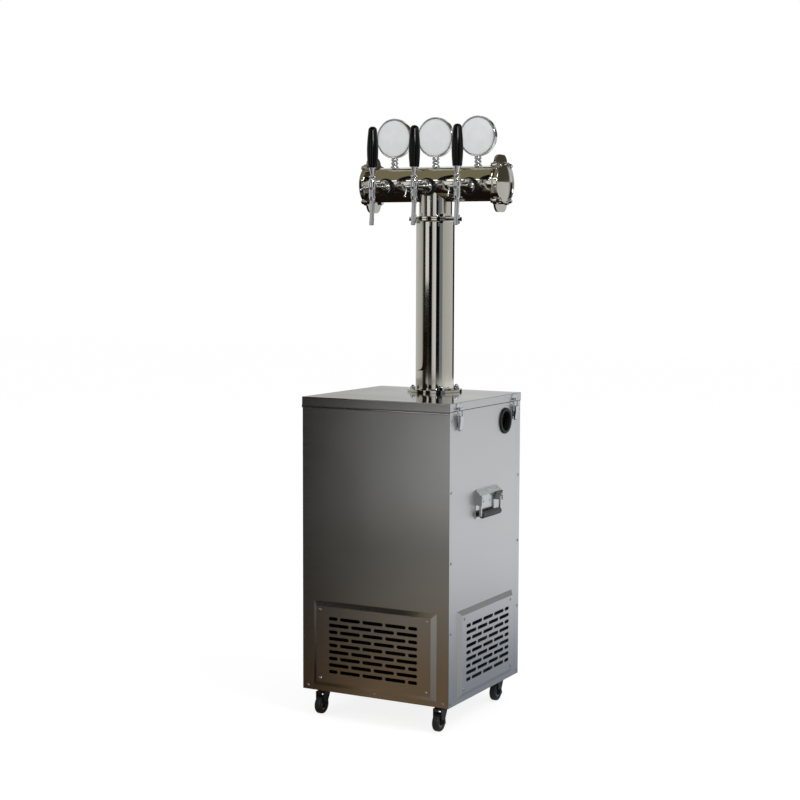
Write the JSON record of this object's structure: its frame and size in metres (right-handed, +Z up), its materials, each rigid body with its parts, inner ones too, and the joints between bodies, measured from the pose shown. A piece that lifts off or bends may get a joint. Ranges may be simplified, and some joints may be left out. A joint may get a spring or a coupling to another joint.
{
  "type": "draft beer cooler",
  "caption": "Stainless draft beer cooler on casters: a vented cabinet holding a water bath and cooling machine, with a polished tee tower, taps and round medallions on its lid.",
  "frame": {"origin": "on the floor under the cabinet's centre", "axes": "+Z up, -Y towards the front with the taps, +X towards the side with the hose port"},
  "size_m": [0.467, 0.432, 1.5515],
  "materials": {
    "brushed_stainless": "brushed stainless sheet",
    "polished_stainless": "mirror-polished stainless tube and castings",
    "chrome_plate": "bright chrome plating",
    "black_handle": "glossy black phenolic",
    "black_rubber": "black rubber",
    "grip_rubber": "dark grey ribbed rubber",
    "black_paint": "black paint",
    "black_plastic": "black moulded plastic",
    "caster_tread": "black nylon wheel",
    "zinc_steel": "zinc-plated steel",
    "insulating_foam": "cream rigid foam",
    "copper_tube": "bare copper tube",
    "aluminium_fin": "aluminium fins and end plates",
    "white_disc": "plain pale grey-white disc",
    "motor_grey": "dark grey paint"
  },
  "bodies": {
    "cabinet": {"base_pan": "brushed_stainless", "front_panel": "brushed_stainless", "side_panels": "brushed_stainless", "rear_panel": "brushed_stainless", "vent_covers": "brushed_stainless", "cabinet_screws": "zinc_steel", "lid": "brushed_stainless", "foam_insulation": "insulating_foam", "tank_shelf": "zinc_steel", "water_tank": "brushed_stainless", "evaporator_coil": "copper_tube", "beer_lines": "brushed_stainless", "agitator_motor": "motor_grey", "compressor": "black_paint", "condenser": "aluminium_fin", "fan_motor": "motor_grey", "hose_port": "black_plastic", "cable_gland": "black_plastic", "tower_column": "polished_stainless", "tower_tee": "polished_stainless", "tee_end_caps": "polished_stainless", "tower_bolts": "chrome_plate", "tap_gaskets": "black_rubber", "tap_bodies": "chrome_plate", "medallion_frames": "chrome_plate", "medallion_discs": "white_disc", "latch_plates": "chrome_plate", "handle_plates": "chrome_plate", "caster_plates": "zinc_steel"},
    "tap_left": {"tap_lever_left": "chrome_plate", "tap_handle_left": "black_handle"},
    "flow_left": {"flow_lever_left": "chrome_plate"},
    "tap_middle": {"tap_lever_middle": "chrome_plate", "tap_handle_middle": "black_handle"},
    "flow_middle": {"flow_lever_middle": "chrome_plate"},
    "tap_right": {"tap_lever_right": "chrome_plate", "tap_handle_right": "black_handle"},
    "flow_right": {"flow_lever_right": "chrome_plate"},
    "latch_right_front": {"latch_lever_right_front": "chrome_plate"},
    "bail_right_front": {"latch_bail_right_front": "chrome_plate"},
    "latch_right_rear": {"latch_lever_right_rear": "chrome_plate"},
    "bail_right_rear": {"latch_bail_right_rear": "chrome_plate"},
    "latch_left_front": {"latch_lever_left_front": "chrome_plate"},
    "bail_left_front": {"latch_bail_left_front": "chrome_plate"},
    "latch_left_rear": {"latch_lever_left_rear": "chrome_plate"},
    "bail_left_rear": {"latch_bail_left_rear": "chrome_plate"},
    "carry_right": {"carry_handle_right": "chrome_plate", "carry_grip_right": "grip_rubber"},
    "carry_left": {"carry_handle_left": "chrome_plate", "carry_grip_left": "grip_rubber"},
    "swivel_front_right": {"caster_fork_front_right": "black_paint"},
    "wheel_front_right": {"caster_wheel_front_right": "caster_tread"},
    "swivel_front_left": {"caster_fork_front_left": "black_paint"},
    "wheel_front_left": {"caster_wheel_front_left": "caster_tread"},
    "swivel_rear_right": {"caster_fork_rear_right": "black_paint"},
    "wheel_rear_right": {"caster_wheel_rear_right": "caster_tread"},
    "swivel_rear_left": {"caster_fork_rear_left": "black_paint"},
    "wheel_rear_left": {"caster_wheel_rear_left": "caster_tread"},
    "fan": {"fan_blade": "aluminium_fin"},
    "agitator": {"agitator_shaft": "zinc_steel"}
  },
  "joints": [
    {"name": "tap_left_pull", "type": "hinge", "parent": "cabinet", "child": "tap_left", "pos_m": [-0.124, -0.001, 1.386], "axis": [1, 0, 0], "range_deg": [-15, 28]},
    {"name": "flow_left_turn", "type": "hinge", "parent": "cabinet", "child": "flow_left", "pos_m": [-0.124, -0.001, 1.365], "axis": [-1, 0, 0], "range_deg": [-75, 15]},
    {"name": "tap_middle_pull", "type": "hinge", "parent": "cabinet", "child": "tap_middle", "pos_m": [0, -0.001, 1.386], "axis": [1, 0, 0], "range_deg": [-15, 28]},
    {"name": "flow_middle_turn", "type": "hinge", "parent": "cabinet", "child": "flow_middle", "pos_m": [0, -0.001, 1.365], "axis": [-1, 0, 0], "range_deg": [-22, 68]},
    {"name": "tap_right_pull", "type": "hinge", "parent": "cabinet", "child": "tap_right", "pos_m": [0.124, -0.001, 1.386], "axis": [1, 0, 0], "range_deg": [-15, 28]},
    {"name": "flow_right_turn", "type": "hinge", "parent": "cabinet", "child": "flow_right", "pos_m": [0.124, -0.001, 1.365], "axis": [-1, 0, 0], "range_deg": [-22, 68]},
    {"name": "latch_right_front_throw", "type": "hinge", "parent": "cabinet", "child": "latch_right_front", "pos_m": [0.2194, -0.162, 0.792], "axis": [0, -1, 0], "range_deg": [0, 90]},
    {"name": "bail_right_front_swing", "type": "hinge", "parent": "latch_right_front", "child": "bail_right_front", "pos_m": [0.218, -0.162, 0.783], "axis": [0, -1, 0], "range_deg": [-67.5, 0]},
    {"name": "latch_right_rear_throw", "type": "hinge", "parent": "cabinet", "child": "latch_right_rear", "pos_m": [0.2194, 0.162, 0.792], "axis": [0, -1, 0], "range_deg": [0, 90]},
    {"name": "bail_right_rear_swing", "type": "hinge", "parent": "latch_right_rear", "child": "bail_right_rear", "pos_m": [0.218, 0.162, 0.783], "axis": [0, -1, 0], "range_deg": [-67.5, 0]},
    {"name": "latch_left_front_throw", "type": "hinge", "parent": "cabinet", "child": "latch_left_front", "pos_m": [-0.2194, -0.162, 0.792], "axis": [0, 1, 0], "range_deg": [0, 90]},
    {"name": "bail_left_front_swing", "type": "hinge", "parent": "latch_left_front", "child": "bail_left_front", "pos_m": [-0.218, -0.162, 0.783], "axis": [0, 1, 0], "range_deg": [-67.5, 0]},
    {"name": "latch_left_rear_throw", "type": "hinge", "parent": "cabinet", "child": "latch_left_rear", "pos_m": [-0.2194, 0.162, 0.792], "axis": [0, 1, 0], "range_deg": [0, 90]},
    {"name": "bail_left_rear_swing", "type": "hinge", "parent": "latch_left_rear", "child": "bail_left_rear", "pos_m": [-0.218, 0.162, 0.783], "axis": [0, 1, 0], "range_deg": [-67.5, 0]},
    {"name": "carry_right_lift", "type": "hinge", "parent": "cabinet", "child": "carry_right", "pos_m": [0.225, 0, 0.575], "axis": [0, -1, 0], "range_deg": [0, 90]},
    {"name": "carry_left_lift", "type": "hinge", "parent": "cabinet", "child": "carry_left", "pos_m": [-0.225, 0, 0.575], "axis": [0, 1, 0], "range_deg": [0, 90]},
    {"name": "swivel_front_right_turn", "type": "hinge", "parent": "cabinet", "child": "swivel_front_right", "pos_m": [0.172, -0.165, 0.056], "axis": [0, 0, 1], "continuous": true},
    {"name": "wheel_front_right_roll", "type": "hinge", "parent": "swivel_front_right", "child": "wheel_front_right", "pos_m": [0.172, -0.179, 0.024], "axis": [1, 0, 0], "continuous": true},
    {"name": "swivel_front_left_turn", "type": "hinge", "parent": "cabinet", "child": "swivel_front_left", "pos_m": [-0.172, -0.165, 0.056], "axis": [0, 0, 1], "continuous": true},
    {"name": "wheel_front_left_roll", "type": "hinge", "parent": "swivel_front_left", "child": "wheel_front_left", "pos_m": [-0.172, -0.179, 0.024], "axis": [1, 0, 0], "continuous": true},
    {"name": "swivel_rear_right_turn", "type": "hinge", "parent": "cabinet", "child": "swivel_rear_right", "pos_m": [0.172, 0.165, 0.056], "axis": [0, 0, 1], "continuous": true},
    {"name": "wheel_rear_right_roll", "type": "hinge", "parent": "swivel_rear_right", "child": "wheel_rear_right", "pos_m": [0.172, 0.151, 0.024], "axis": [1, 0, 0], "continuous": true},
    {"name": "swivel_rear_left_turn", "type": "hinge", "parent": "cabinet", "child": "swivel_rear_left", "pos_m": [-0.172, 0.165, 0.056], "axis": [0, 0, 1], "continuous": true},
    {"name": "wheel_rear_left_roll", "type": "hinge", "parent": "swivel_rear_left", "child": "wheel_rear_left", "pos_m": [-0.172, 0.151, 0.024], "axis": [1, 0, 0], "continuous": true},
    {"name": "fan_spin", "type": "hinge", "parent": "cabinet", "child": "fan", "pos_m": [0, -0.0978, 0.1775], "axis": [0, 1, 0], "continuous": true},
    {"name": "agitator_spin", "type": "hinge", "parent": "cabinet", "child": "agitator", "pos_m": [0, 0, 0.6], "axis": [0, 0, 1], "continuous": true}
  ],
  "couplings": [
    {"joint": "bail_right_front_swing", "follows": "latch_right_front_throw", "ratio": -0.75},
    {"joint": "bail_right_rear_swing", "follows": "latch_right_rear_throw", "ratio": -0.75},
    {"joint": "bail_left_front_swing", "follows": "latch_left_front_throw", "ratio": -0.75},
    {"joint": "bail_left_rear_swing", "follows": "latch_left_rear_throw", "ratio": -0.75}
  ]
}
